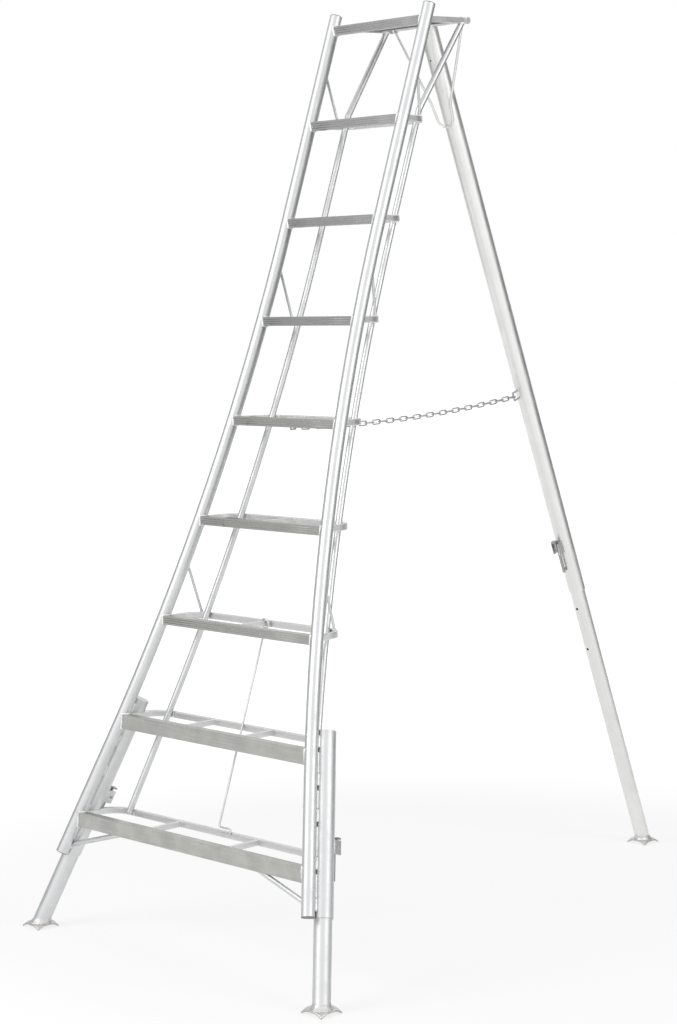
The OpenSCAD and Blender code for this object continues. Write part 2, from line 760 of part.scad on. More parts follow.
// Inner pole with a row of lock holes in its front, cut level where it stands on its foot
module pole_inner() {
    color(metal) difference() {
        pole_frame() difference() {
            translate([0, 0, -pole_reach - sleeve_d])
                cylinder(r = leg_r, h = pole_reach + sleeve_d - pole_len + pole_in);
            translate([0, 0, -pole_reach - 2 * sleeve_d])
                cylinder(r = leg_r - leg_wall, h = pole_reach + 3 * sleeve_d - pole_len + pole_in);
            for (i = [-hole_steps:hole_steps]) {
                translate([0, 0, -pole_lock_down + i * pole_hole_pitch]) rotate([90, 0, 0])
                    cylinder(d = nose_d + 2 * hole_clear, h = sleeve_d);
            }
        }
        translate([-2 * sleeve_d, pole_foot_y - 2 * sleeve_d, foot_h - 4 * sleeve_d]) cube(4 * sleeve_d);
    }
}

module pole_foot() {
    color(metal) translate([0, pole_foot_y, 0]) foot();
}

// Stay: one bent rod with an eye on each end of the hinge rod and a loop in front of the pole
module pole_stay() {
    loop = stay_loop_r + stay_d / 2;
    eye = hinge_rod_d / 2 + weld_gap + stay_d / 2;
    front = -sleeve_r - weld_gap - stay_d / 2;
    bend_z = loop - stay_len;
    low = [loop, front, bend_z];
    high = [loop + stay_flare, front, bend_z + stay_side];
    eye_low = [stay_eye_x, 0, -eye];
    color(metal) pole_frame() {
        translate([0, front, bend_z]) rotate([90, 0, 0]) rotate([0, 0, 180])
            rotate_extrude(angle = 180) translate([loop, 0]) circle(d = stay_d, $fn = 24);
        for (side = [-1, 1]) {
            on_side(side) {
                knuckle(low, stay_d);
                rod(low, high, stay_d);
                knuckle(high, stay_d);
                rod(high, eye_low, stay_d);
                knuckle(eye_low, stay_d);
                translate([stay_eye_x, 0, 0]) rotate([0, 90, 0])
                    rotate_extrude() translate([eye, 0]) circle(d = stay_d, $fn = 24);
            }
        }
    }
}

// Square staple on the pole's front for the chain's last link
module pole_staple() {
    color(galvanised) pole_frame() difference() {
        translate([0, -sleeve_r - staple_out, -staple_down]) staple(staple_out + sleeve_wall, staple_h, staple_d);
        translate([0, 0, -staple_down - staple_h]) cylinder(r = sleeve_r + weld_gap, h = 2 * staple_h);
    }
}

// Upright bar with two arms that run back from its ends
module staple(reach, h, d) {
    translate([0, 0, -h / 2]) cylinder(d = d, h = h);
    for (z = [-h / 2, h / 2]) {
        translate([0, 0, z]) sphere(d = d);
        translate([0, 0, z]) rotate([-90, 0, 0]) cylinder(d = d, h = reach);
    }
}

// Chain and hook

// Bow under the fourth tread's tie, whose rear arm carries the chain's first link
module chain_anchor() {
    reach = anchor_drop + anchor_d + weld_gap;
    color(galvanised) tread_frame(chain_tread) translate([0, anchor_y - anchor_w / 2, -tie_h - reach])
        rotate([90, 0, 0]) staple(reach, anchor_w, anchor_d);
}

// One link in the XY plane, its length along X
module link() {
    for (end = [-1, 1]) {
        rotate(end < 0 ? 180 : 0) translate([link_side / 2, 0, 0]) rotate(-90)
            rotate_extrude(angle = 180) translate([link_bow, 0]) circle(d = chain_wire, $fn = 16);
        translate([-link_side / 2, end * link_bow, 0]) rotate([0, 90, 0])
            cylinder(d = chain_wire, h = link_side, $fn = 16);
    }
}

function chain_point(share) =
    chain_from + (chain_to - chain_from) * share - [0, 0, 4 * chain_sag * share * (1 - share)];

module chain() {
    first = (link_pitch / 2 + link_gap - bar_gap - anchor_d / 2) / chain_span;
    step = link_pitch / chain_span;
    color(galvanised) for (i = [0:link_steps]) {
        share = first + i * step;
        v = chain_to - chain_from - [0, 0, 4 * chain_sag * (1 - 2 * share)];
        translate(chain_point(share)) rotate([atan2(v[2], v[1]), 0, 0]) rotate(90)
            rotate([i % 2 == 0 ? 0 : 90, 0, 0]) link();
    }
}

// Rod that hangs from the sixth tread's tie inside the hoops, with a flat hook at its end
module pole_hook() {
    low = slope_at(tread_count) - hook_up;
    turn = low - hook_bend_r;
    color(metal) {
        tread_frame(hook_tread) translate([0, hook_y, -hook_eye_drop]) rotate([90, 0, 0])
            rotate_extrude() translate([hook_eye_r, 0]) circle(d = hook_d, $fn = 24);
        ladder_plane() translate([0, hook_back, 0]) {
            rod([0, 0, -hook_from], [0, 0, -turn], hook_d);
            translate([hook_bend_r, 0, -turn]) rotate([90, 0, 0]) rotate(180)
                rotate_extrude(angle = 90) translate([hook_bend_r, 0]) circle(d = hook_d, $fn = 24);
            rod([hook_bend_r, 0, -low], [hook_run, 0, -low], hook_d);
            translate([hook_run, 0, -low - hook_bend_r]) rotate([90, 0, 0]) rotate(-90)
                rotate_extrude(angle = 180) translate([hook_bend_r, 0]) circle(d = hook_d, $fn = 24);
            rod([hook_run, 0, -low - 2 * hook_bend_r], [hook_bend_r, 0, -low - 2 * hook_bend_r], hook_d);
        }
    }
}

stile(-1);  // left_stile
stile(1);  // right_stile
stile_plugs();
tread_bar(0);  // platform_bar
platform_deck();
platform_rails();
hinge_rod();
for (k = TREADS) tread_bar(k);
for (k = TREADS) tread_hoop(k);
tread_ties(4, [0]);  // tread_4_tie
tread_ties(5, [0]);  // tread_5_tie
tread_ties(6, [0]);  // tread_6_tie
tread_ties(7, [-tie_x_7, tie_x_7]);  // tread_7_ties
tread_ties(8, [-tie_x_8, tie_x_8]);  // tread_8_ties
stringer(-1);  // left_stringer
stringer(1);  // right_stringer
braces(-1);  // left_braces
braces(1);  // right_braces
strut(-1);  // left_strut
strut(1);  // right_strut
sleeve(-1);  // left_sleeve
sleeve(1);  // right_sleeve
leg(-1);  // left_leg
leg(1);  // right_leg
leg_foot(-1);  // left_foot
leg_foot(1);  // right_foot
leg_lock_frame(-1) lock_bracket();  // left_lock_bracket
leg_lock_frame(1) lock_bracket();  // right_lock_bracket
pole_lock_frame() lock_bracket();  // pole_lock_bracket
leg_lock_frame(-1) latch();  // left_latch
leg_lock_frame(1) latch();  // right_latch
pole_lock_frame() latch();  // pole_latch
leg_lock_frame(-1) latch_spring();  // left_latch_spring
leg_lock_frame(1) latch_spring();  // right_latch_spring
pole_lock_frame() latch_spring();  // pole_latch_spring
pole_tube();
pole_stay();
pole_staple();
pole_inner();
pole_foot();
chain_anchor();
chain();
pole_hook();
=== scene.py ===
import json
import math

import bmesh
import bpy
from mathutils import Matrix, Vector


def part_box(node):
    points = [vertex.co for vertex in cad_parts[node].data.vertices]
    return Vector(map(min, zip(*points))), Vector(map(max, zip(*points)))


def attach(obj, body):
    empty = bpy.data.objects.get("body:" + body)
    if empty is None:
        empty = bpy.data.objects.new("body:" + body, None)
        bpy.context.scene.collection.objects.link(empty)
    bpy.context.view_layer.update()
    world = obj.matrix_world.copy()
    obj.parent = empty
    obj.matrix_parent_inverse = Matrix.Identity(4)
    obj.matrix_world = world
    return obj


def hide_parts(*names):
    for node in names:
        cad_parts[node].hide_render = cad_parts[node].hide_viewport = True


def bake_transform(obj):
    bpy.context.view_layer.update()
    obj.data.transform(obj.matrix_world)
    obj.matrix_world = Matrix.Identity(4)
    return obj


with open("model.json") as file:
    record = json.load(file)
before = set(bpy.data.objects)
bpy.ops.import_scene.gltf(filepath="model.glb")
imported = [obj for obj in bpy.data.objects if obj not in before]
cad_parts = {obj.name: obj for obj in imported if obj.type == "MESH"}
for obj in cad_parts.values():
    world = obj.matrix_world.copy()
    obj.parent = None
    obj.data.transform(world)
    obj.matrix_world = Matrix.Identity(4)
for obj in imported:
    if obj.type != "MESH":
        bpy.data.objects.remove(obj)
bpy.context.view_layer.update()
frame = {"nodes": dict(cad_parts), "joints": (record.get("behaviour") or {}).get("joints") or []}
nodes = frame["nodes"]
joints = {joint["name"]: joint for joint in frame["joints"]}

# Sizes that the part has, in metres and radians
TREADS = 8
RISE = 0.300
FIRST_TREAD = 0.367
LEAN = math.radians(18.15)
TREAD_TILT = math.radians(1)
PLATFORM_TILT = math.radians(4)
TOP_HALF_SPAN = 0.1975
BEND_START = 0.640
BEND_RADIUS = 5.930
SPLAY = math.radians(16.25)
STILE_R = 0.019
STILE_DROP = 0.1245
BAR_H = 0.027
LOW_BAR_H = 0.044
LOW_TREAD = 7
BAR_DEPTH = 0.025
BAR_FRONT = 0.017
HOOP_BACK = 0.126
HOOP_T = 0.014
HOOP_H = 0.020
HOOP_BEND_R = 0.066
HOOP_IN = 0.015
TIE_W = 0.013
TIE_H = 0.015
TIE_PLACES = {4: [0], 5: [0], 6: [0], 7: [-0.125, 0.125], 8: [-0.170, 0.170]}
HINGE_BACK = 0.217
HINGE_DROP = 0.008
RAIL_X = 0.160
RAIL_W = 0.014
RAIL_H = 0.017
DECK_CLEAR = 0.042
STRINGER_R = 0.0095
STRINGER_HALF = 0.151
STRINGER_RADIUS = 6.900
STRINGER_SPLAY = math.radians(12.7)
BRACE_R = 0.004
BRACE_OUT = 0.021
BRACE_TOP_SHARE = 0.43
BRACE_TREADS = [1, 3, 6]
STRUT_R = 0.0075
STRUT_UP = 0.024
STRUT_RUN = 0.240
SLEEVE_R = 0.0285
SLEEVE_LEN = 0.521
SLEEVE_TURN = math.radians(15)
SLEEVE_WALL = 0.0028
LEG_CLEAR = 0.0003
LEG_R = SLEEVE_R - SLEEVE_WALL - LEG_CLEAR
POLE_LEAN = math.radians(22.57)
POLE_LOCK_DOWN = 1.889
LEG_LOCK_UP = 0.115
LATCH_LEN = 0.085
LATCH_W = 0.009
PIVOT_OUT = 0.015
EAR_T = 0.003
EAR_GAP = 0.024
EAR_H = 0.040
WELD_GAP = 0.0003
ANCHOR_Y = 0.036
ANCHOR_W = 0.019
ANCHOR_DROP = 0.015
ANCHOR_D = 0.005
CHAIN_TREAD = 4
STAPLE_DOWN = 1.238
STAPLE_OUT = 0.029
STAPLE_H = 0.026
STAPLE_D = 0.006
CHAIN_WIRE = 0.004
CHAIN_PITCH = 0.030
CHAIN_SAG = 0.020
LINK_W = 0.017
LINK_GAP = 0.0003
CHAIN_BAR_GAP = 0.0009
SPRING_WIRE = 0.0012
SPRING_TURNS = 3
SPRING_OUTER_R = 0.0065
SPRING_R = SPRING_OUTER_R - SPRING_WIRE / 2

SIDES = (-1, 1)
UP = Vector((0, 0, 1))


# Frames of the part

def turned(angle, axis):
    return Matrix.Rotation(angle, 4, axis)


def shifted(x, y, z):
    return Matrix.Translation((x, y, z))


hinge = Vector(joints["pole_fold"]["pos_m"])
hinge_rel = turned(PLATFORM_TILT, "X") @ Vector((0, HINGE_BACK, -HINGE_DROP))
top_y = hinge.y - hinge_rel.y
top_z = FIRST_TREAD + TREADS * RISE
stile_end = (top_z - FIRST_TREAD + STILE_DROP) / math.cos(LEAN)
ladder_plane = shifted(0, top_y, top_z) @ turned(-LEAN, "X")
pole_frame = shifted(*hinge) @ turned(POLE_LEAN, "X")
lean_on_tread = LEAN + TREAD_TILT
hoop_edge = HOOP_BACK - HOOP_T / 2
arm_len = HOOP_BACK - HOOP_BEND_R
bar_back = BAR_DEPTH - BAR_FRONT
stringer_back = hoop_edge * math.cos(lean_on_tread) - STRINGER_R - WELD_GAP


def mirrored(side):
    return Matrix.Diagonal((side, 1, 1, 1))


def slope_at(k):
    return k * RISE / math.cos(LEAN)


def turn_on(d, radius, angle):
    if d <= BEND_START:
        return 0
    if d >= BEND_START + radius * math.sin(angle):
        return angle
    return math.asin((d - BEND_START) / radius)


def span_on(d, half, radius, angle):
    past_bend = max(0, d - BEND_START - radius * math.sin(angle))
    bow = radius * (1 - math.cos(turn_on(d, radius, angle)))
    return half + bow + past_bend * math.tan(angle)


def stile_span(d):
    return span_on(d, TOP_HALF_SPAN, BEND_RADIUS, SPLAY)


def stringer_span(d):
    return span_on(d, STRINGER_HALF, STRINGER_RADIUS, STRINGER_SPLAY)


def bar_height(k):
    return LOW_BAR_H if k >= LOW_TREAD else BAR_H


def tread_frame(k):
    place = shifted(0, top_y - k * RISE * math.tan(LEAN), top_z - k * RISE)
    return place @ turned(TREAD_TILT if k else PLATFORM_TILT, "X")


stile_foot = ladder_plane @ shifted(stile_span(stile_end), 0, -stile_end) @ turned(-SPLAY, "Y")
straight_len = (stile_end - BEND_START - BEND_RADIUS * math.sin(SPLAY)) / math.cos(SPLAY)
bend_sag = max(0, SLEEVE_LEN - straight_len) ** 2 / (2 * BEND_RADIUS)
sleeve_off = STILE_R + SLEEVE_R + WELD_GAP + bend_sag * math.sin(SLEEVE_TURN)
sleeve_way = Vector((math.sin(SLEEVE_TURN), math.cos(SLEEVE_TURN), 0))
leg_frame = stile_foot @ Matrix.Translation(sleeve_off * sleeve_way)
leg_lock = leg_frame @ shifted(0, 0, LEG_LOCK_UP + LATCH_LEN)
pole_lock = pole_frame @ shifted(0, 0, LATCH_LEN - POLE_LOCK_DOWN) @ turned(math.pi, "Z")


# Meshes

def swept(bm, path, radii, sides, closed=False):
    """Sweeps a circle along a path, with a radius at each point. Open ends are closed flat."""
    count = len(path)
    rings = []
    normal = None
    for i, point in enumerate(path):
        before = path[i - 1] if closed or i else path[0]
        after = path[(i + 1) % count] if closed or i + 1 < count else path[-1]
        way = (after - before).normalized()
        if normal is None:
            normal = way.orthogonal()
        normal = (normal - way * normal.dot(way)).normalized()
        across = way.cross(normal)
        ring = []
        for j in range(sides):
            a = 2 * math.pi * j / sides
            out = normal * math.cos(a) + across * math.sin(a)
            ring.append(bm.verts.new(point + radii[i] * out))
        rings.append(ring)
    shift = 0
    if closed:
        first = [v.co for v in rings[0]]
        last = [v.co for v in rings[-1]]
        shift = min(range(sides), key=lambda turn: sum(
            (last[j] - first[(j + turn) % sides]).length for j in range(sides)))
    for i in range(count if closed else count - 1):
        low, high = rings[i], rings[(i + 1) % count]
        turn = shift if closed and i + 1 == count else 0
        for j in range(sides):
            bm.faces.new((low[j], low[(j + 1) % sides],
                          high[(j + 1 + turn) % sides], high[(j + turn) % sides]))
    if not closed:
        bm.faces.new(list(reversed(rings[0])))
        bm.faces.new(rings[-1])


def resampled(path, step, closed=False):
    """The same path with points at an even step."""
    points = path + [path[0]] if closed else path
    lengths = [0]
    for a, b in zip(points, points[1:]):
        lengths.append(lengths[-1] + (b - a).length)
    count = max(2, round(lengths[-1] / step))
    result = []
    leg = 0
    for i in range(count if closed else count + 1):
        at = lengths[-1] * i / count
        while leg < len(points) - 2 and lengths[leg + 1] < at:
            leg += 1
        gap = lengths[leg + 1] - lengths[leg]
        share = (at - lengths[leg]) / gap if gap else 0
        result.append(points[leg].lerp(points[leg + 1], min(1, share)))
    return result


def piece(name, bm, body, material):
    bmesh.ops.recalc_face_normals(bm, faces=bm.faces)
    mesh = bpy.data.meshes.new(name)
    bm.to_mesh(mesh)
    bm.free()
    mesh.shade_smooth()
    mesh.materials.append(material)
    obj = bpy.data.objects.new(name, mesh)
    bpy.context.scene.collection.objects.link(obj)
    if body:
        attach(obj, body)
    return obj


# Materials

class Shader:
    """A material's node tree, with short calls for the nodes that the materials share."""

    def __init__(self, name):
        self.material = bpy.data.materials.new(name)
        self.material.use_nodes = True
        self.tree = self.material.node_tree
        self.main = self.tree.nodes["Principled BSDF"]
        self.place = self.add("ShaderNodeTexCoord").outputs["Object"]

    def add(self, kind, inputs=None, **settings):
        node = self.tree.nodes.new(kind)
        for key, value in settings.items():
            setattr(node, key, value)
        for key, value in (inputs or {}).items():
            if isinstance(value, bpy.types.NodeSocket):
                self.tree.links.new(value, node.inputs[key])
            else:
                node.inputs[key].default_value = value
        return node

    def link(self, output, key):
        self.tree.links.new(output, self.main.inputs[key])

    def along(self, axis, fine, coarse):
        """Coordinates that run fine across an axis and coarse along it."""
        turn = axis.rotation_difference(UP).to_euler()
        upright = self.add("ShaderNodeMapping", {"Vector": self.place, "Rotation": turn})
        made = {"Vector": upright.outputs[0], "Scale": (fine, fine, coarse)}
        return self.add("ShaderNodeMapping", made).outputs[0]

    def noise(self, vector, scale, detail, roughness=0.5):
        made = {"Vector": vector, "Scale": scale, "Detail": detail, "Roughness": roughness}
        return self.add("ShaderNodeTexNoise", made).outputs["Fac"]

    def ranged(self, value, low, high, to_low, to_high):
        made = {"Value": value, "From Min": low, "From Max": high,
                "To Min": to_low, "To Max": to_high}
        return self.add("ShaderNodeMapRange", made).outputs["Result"]

    def math(self, operation, a, b):
        return self.add("ShaderNodeMath", {0: a, 1: b}, operation=operation).outputs[0]

    def mixed(self, factor, a, b):
        """A mix of two colours. The node's sockets share names, so they go by number."""
        made = {0: factor, 6: a, 7: b}
        return self.add("ShaderNodeMix", made, data_type="RGBA").outputs[2]

    def bumped(self, height, strength, distance, normal=None):
        made = {"Height": height, "Strength": strength, "Distance": distance}
        if normal:
            made["Normal"] = normal
        return self.add("ShaderNodeBump", made).outputs["Normal"]


def tone(r, g, b):
    return (r, g, b, 1)


# Finishes: scales are per metre, and depths of bumps are in metres
NOISE_SPAN = (0.3, 0.7)
FINE_DEPTH = 0.0002
ROUGH_LESS = 0.08
ROUGH_MORE = 0.1
# Painted shade: an ambient-occlusion mask darkens corners and grooves towards this grey
PAINTED_SHADE_TONE = tone(0.42, 0.41, 0.39)

LINE_SCALES = (900, 9)
LINE_DETAIL = 3
LINE_SHARE = 0.55
LINE_ROUGH = (-0.04, 0.05)
LINE_BUMP = 0.08
CLOUD_SCALE = 16
CLOUD_DETAIL = 5
CLOUD_GRAIN = 0.6
CLOUD_SPAN = (0.35, 0.7)
CLOUD_SHARE = 0.45
CLOUD_ROUGH = 0.07
CLOUD_BUMP = 0.06
CLOUD_DEPTH = 0.0010
SCRATCH_SCALES = (420, 26)
SCRATCH_DETAIL = 2
SCRATCH_SPAN = (0.66, 0.72)
SCRATCH_ROUGH = 0.12
SCRATCH_BUMP = 0.10
# Reach, samples, span and share of the painted shade in corners and grooves
PAINTED_SHADE_REACH = 0.009
PAINTED_SHADE_SAMPLES = 4
PAINTED_SHADE_SPAN = (0.15, 0.7)
PAINTED_SHADE_SHARE = 0.45


def drawn_metal(name, light, dark, axis, rough, line_share=LINE_SHARE):
    """Drawn aluminium: die lines along an axis, handling marks, scratches and painted shade in
    corners.
    """
    s = Shader(name)
    lines = s.noise(s.along(axis, *LINE_SCALES), 1, LINE_DETAIL)
    clouds = s.noise(s.place, CLOUD_SCALE, CLOUD_DETAIL, CLOUD_GRAIN)
    scored = s.noise(s.along(axis, *SCRATCH_SCALES), 1, SCRATCH_DETAIL)
    scratches = s.ranged(scored, *SCRATCH_SPAN, 0, 1)
    tint = s.math("ADD", s.ranged(lines, *NOISE_SPAN, 0, line_share),
                  s.ranged(clouds, *CLOUD_SPAN, 0, CLOUD_SHARE))
    base = s.mixed(tint, light, dark)
    # Painted shade: the base colour darkens towards a grey where nearby parts occlude, in corners
    # and grooves
    corners = s.add("ShaderNodeAmbientOcclusion", {"Distance": PAINTED_SHADE_REACH}, samples=PAINTED_SHADE_SAMPLES)
    painted_shade = s.ranged(corners.outputs["AO"], *PAINTED_SHADE_SPAN, PAINTED_SHADE_SHARE, 0)
    s.link(s.mixed(painted_shade, base, PAINTED_SHADE_TONE), "Base Color")
    s.main.inputs["Metallic"].default_value = 1.0
    worn = s.math("ADD", s.ranged(clouds, *NOISE_SPAN, rough - CLOUD_ROUGH, rough + CLOUD_ROUGH),
                  s.ranged(lines, *NOISE_SPAN, *LINE_ROUGH))
    worn = s.math("ADD", worn, s.ranged(scratches, 0, 1, 0, SCRATCH_ROUGH))
    s.link(worn, "Roughness")
    normal = s.bumped(lines, LINE_BUMP, FINE_DEPTH)
    normal = s.bumped(scratches, SCRATCH_BUMP, FINE_DEPTH, normal)
    s.link(s.bumped(clouds, CLOUD_BUMP, CLOUD_DEPTH, normal), "Normal")
    return s.material


SPANGLE_SCALE = 420
SPANGLE_SHARE = 0.6
SPANGLE_BUMP = 0.1
ZINC_SCALE = 900
ZINC_DETAIL = 3
ZINC_SHARE = 0.4
ZINC_BUMP = 0.25


def galvanised_metal(name, light, dark, rough):
    """Galvanised steel: dull spangles with a grainy surface."""
    s = Shader(name)
    made = {"Vector": s.place, "Scale": SPANGLE_SCALE}
    cells = s.add("ShaderNodeTexVoronoi", made).outputs["Color"]
    shade = s.add("ShaderNodeSeparateColor", {"Color": cells}).outputs[0]
    grain = s.noise(s.place, ZINC_SCALE, ZINC_DETAIL)
    tint = s.math("ADD", s.ranged(shade, 0, 1, 0, SPANGLE_SHARE),
                  s.ranged(grain, *NOISE_SPAN, 0, ZINC_SHARE))
    s.link(s.mixed(tint, light, dark), "Base Color")
    s.main.inputs["Metallic"].default_value = 1.0
    s.link(s.ranged(shade, 0, 1, rough - ROUGH_LESS, rough + ROUGH_MORE), "Roughness")
    normal = s.bumped(shade, SPANGLE_BUMP, FINE_DEPTH)
    s.link(s.bumped(grain, ZINC_BUMP, FINE_DEPTH, normal), "Normal")
    return s.material


HEAT_SCALE = 55
HEAT_DETAIL = 4
HEAT_SPAN = (0.52, 0.72)
WELD_SCALE = 1500
WELD_DETAIL = 3
WELD_BUMP = 0.35
WELD_DEPTH = 0.0003
WELD_METALLIC = 0.85


def weld_metal(name, light, dark, rough):
    """Weld beads: bright ripples with brown heat marks."""
    s = Shader(name)
    marks = s.ranged(s.noise(s.place, HEAT_SCALE, HEAT_DETAIL), *HEAT_SPAN, 0, 1)
    grain = s.noise(s.place, WELD_SCALE, WELD_DETAIL)
    s.link(s.mixed(marks, light, dark), "Base Color")
    s.main.inputs["Metallic"].default_value = WELD_METALLIC
    s.link(s.ranged(grain, *NOISE_SPAN, rough - ROUGH_LESS, rough + ROUGH_MORE), "Roughness")
    s.link(s.bumped(grain, WELD_BUMP, WELD_DEPTH), "Normal")
    return s.material


SCUFF_SCALE = 60
SCUFF_DETAIL = 5
SCUFF_SPAN = (0.4, 0.7)
MOULD_SCALE = 2600
MOULD_DETAIL = 2
MOULD_BUMP = 0.2


def moulded_plastic(name, light, dark, rough):
    """Moulded plug: an even grain with scuffed patches."""
    s = Shader(name)
    scuffs = s.noise(s.place, SCUFF_SCALE, SCUFF_DETAIL)
    grain = s.noise(s.place, MOULD_SCALE, MOULD_DETAIL)
    s.link(s.mixed(s.ranged(scuffs, *SCUFF_SPAN, 0, 1), light, dark), "Base Color")
    s.link(s.ranged(scuffs, *NOISE_SPAN, rough - ROUGH_LESS, rough + ROUGH_MORE), "Roughness")
    s.link(s.bumped(grain, MOULD_BUMP, FINE_DEPTH), "Normal")
    return s.material


ladder_way = ladder_plane.to_3x3() @ UP
pole_way = pole_frame.to_3x3() @ UP
left_leg_way = (mirrored(-1) @ leg_frame).to_3x3() @ UP
right_leg_way = leg_frame.to_3x3() @ UP
across_way = Vector((1, 0, 0))
sheet_way = Vector((1, 1, 0))

BRIGHT = (tone(0.74, 0.745, 0.75), tone(0.63, 0.635, 0.64))
HOOP_TONES = (tone(0.80, 0.805, 0.80), tone(0.69, 0.695, 0.69))
BAR_TONES = (tone(0.48, 0.48, 0.485), tone(0.34, 0.34, 0.345))
LOW_BAR_TONES = (tone(0.57, 0.575, 0.55), tone(0.40, 0.405, 0.385))
POLE_TONES = (tone(0.86, 0.86, 0.85), tone(0.78, 0.78, 0.77))
FOOT_TONES = (tone(0.68, 0.68, 0.67), tone(0.52, 0.515, 0.50))
FILLET_TONES = (tone(0.72, 0.72, 0.72), tone(0.54, 0.53, 0.51))
ZINC_TONES = (tone(0.54, 0.55, 0.56), tone(0.38, 0.39, 0.40))
LATCH_TONES = (tone(0.52, 0.52, 0.525), tone(0.36, 0.36, 0.365))
WELD_TONES = (tone(0.90, 0.90, 0.90), tone(0.64, 0.62, 0.59))
PLUG_TONES = (tone(0.20, 0.20, 0.205), tone(0.30, 0.30, 0.30))
LIGHT_BAR_FROM = 4

stile_metal = drawn_metal("stile_aluminium", *BRIGHT, ladder_way, rough=0.46)
cross_metal = drawn_metal("hoop_aluminium", *HOOP_TONES, across_way, rough=0.47)
bar_metal = drawn_metal("front_bar_aluminium", *BAR_TONES, across_way, rough=0.42, line_share=0.3)
low_bar_metal = drawn_metal("low_bar_aluminium", *LOW_BAR_TONES, across_way,
                            rough=0.44, line_share=0.6)
pole_metal = drawn_metal("pole_aluminium", *POLE_TONES, pole_way, rough=0.42)
leg_metals = {
    -1: drawn_metal("left_leg_aluminium", *BRIGHT, left_leg_way, rough=0.48),
    1: drawn_metal("right_leg_aluminium", *BRIGHT, right_leg_way, rough=0.48),
}
pressed_metal = drawn_metal("pressed_aluminium", *BRIGHT, sheet_way, rough=0.42)
foot_metal = drawn_metal("foot_aluminium", *FOOT_TONES, sheet_way, rough=0.42)
fillet_metal = weld_metal("foot_weld", *FILLET_TONES, rough=0.46)
zinc = galvanised_metal("galvanised_steel", *ZINC_TONES, rough=0.42)
latch_steel = galvanised_metal("latch_steel", *LATCH_TONES, rough=0.45)
weld = weld_metal("weld", *WELD_TONES, rough=0.40)
plug = moulded_plastic("plug_plastic", *PLUG_TONES, rough=0.5)
light_bars = ["tread_%d_bar" % k for k in range(LIGHT_BAR_FROM, TREADS + 1)]


def metal_of(name):
    """The material of a node, by its name."""
    side = -1 if name.startswith("left") else 1
    if name == "stile_plugs":
        return plug
    if name in light_bars:
        return low_bar_metal
    if name.endswith("_bar") or name == "platform_deck":
        return bar_metal
    if name.endswith("latch"):
        return latch_steel
    if "hoop" in name or "tie" in name or name in ("platform_rails", "hinge_rod"):
        return cross_metal
    if name.endswith("spring") or name in ("pole_staple", "chain_anchor", "chain"):
        return zinc
    if name.endswith("foot"):
        return foot_metal
    if name.endswith("bracket"):
        return pressed_metal
    if name.endswith("_sleeve") or name.endswith("_leg"):
        return leg_metals[side]
    if name.startswith("pole") and name != "pole_hook":
        return pole_metal
    return stile_metal


for name, obj in nodes.items():
    obj.data.materials.clear()
    obj.data.materials.append(metal_of(name))


# Weld beads

BEAD_STEP = 0.0011
BEAD_PITCH = 0.0036
BEAD_SIDES = 8
BEAD_LOW = 0.84
BEAD_TAPER = (0.45, 0.75, 0.92, 1)
welds = {}


def bead(body, path, radius, closed=False):
    """A rippled weld bead along a path."""
    bm = welds.setdefault(body, bmesh.new())
    points = resampled(path, BEAD_STEP, closed)
    radii = []
    for i in range(len(points)):
        crest = abs(math.cos(math.pi * i * BEAD_STEP / BEAD_PITCH))
        end = min(i, len(points) - 1 - i)
        taper = 1 if closed else BEAD_TAPER[min(end, len(BEAD_TAPER) - 1)]
        radii.append(radius * taper * (BEAD_LOW + (1 - BEAD_LOW) * crest))
    swept(bm, points, radii, BEAD_SIDES, closed)


def hit(start, way, cylinder):
    """The first place where a ray meets a cylinder (axis point, way, radius), or None."""
    point, axis, radius = cylinder
    out = (start - point) - axis * (start - point).dot(axis)
    run = way - axis * way.dot(axis)
    a, b, c = run.dot(run), out.dot(run), out.dot(out) - radius ** 2
    if b * b - a * c <= 0:
        return None
    t = (-b - math.sqrt(b * b - a * c)) / a
    return start + way * t if t > 0 else None


def stile_cylinder(d):
    turn = turned(-turn_on(d, BEND_RADIUS, SPLAY), "Y")
    local = ladder_plane @ shifted(stile_span(d), 0, -d) @ turn
    return local.translation, local.to_3x3() @ UP, STILE_R


OUTLINE_STEP = 0.001


def box_outline(low_a, high_a, low_b, high_b):
    """Points round a rectangle."""
    corners = [(low_a, low_b), (high_a, low_b), (high_a, high_b), (low_a, high_b)]
    path = [Vector((a, b, 0)) for a, b in corners]
    return [(p.x, p.y) for p in resampled(path, OUTLINE_STEP, True)]


BAR_BEAD = 0.0040
for k in range(TREADS + 1):
    at = tread_frame(k)
    stile = stile_cylinder(slope_at(k))
    loop = [hit(at @ Vector((0, y, z)), across_way, stile)
            for y, z in box_outline(-BAR_FRONT, bar_back, -bar_height(k), 0)]
    for side in SIDES:
        bead("ladder_frame", [mirrored(side) @ p for p in loop if p], BAR_BEAD, True)

HOOP_BEAD = 0.0022
for k in range(1, TREADS + 1):
    at = tread_frame(k)
    stile = stile_cylinder(slope_at(k))
    arm = stile_span(slope_at(k)) - HOOP_IN
    way = at.to_3x3() @ Vector((0, -1, 0))
    loop = []
    for x, z in box_outline(arm - HOOP_T / 2, arm + HOOP_T / 2, -HOOP_H, 0):
        start = at @ Vector((x, arm_len, z))
        rear = at @ Vector((x, bar_back, z))
        found = hit(start, way, stile)
        if found is None or (found - start).length > (rear - start).length:
            found = rear
        loop.append(found)
    for side in SIDES:
        bead("ladder_frame", [mirrored(side) @ p for p in loop], HOOP_BEAD, True)

TIE_BEAD = 0.0017
for k, places in TIE_PLACES.items():
    at = tread_frame(k)
    for x in places:
        for y in (bar_back, hoop_edge):
            outline = box_outline(x - TIE_W / 2, x + TIE_W / 2, -TIE_H, 0)
            bead("ladder_frame", [at @ Vector((a, y, b)) for a, b in outline], TIE_BEAD, True)

RING_STEPS = 40
FINE_RING_STEPS = 72
SMALL_RING_STEPS = 32


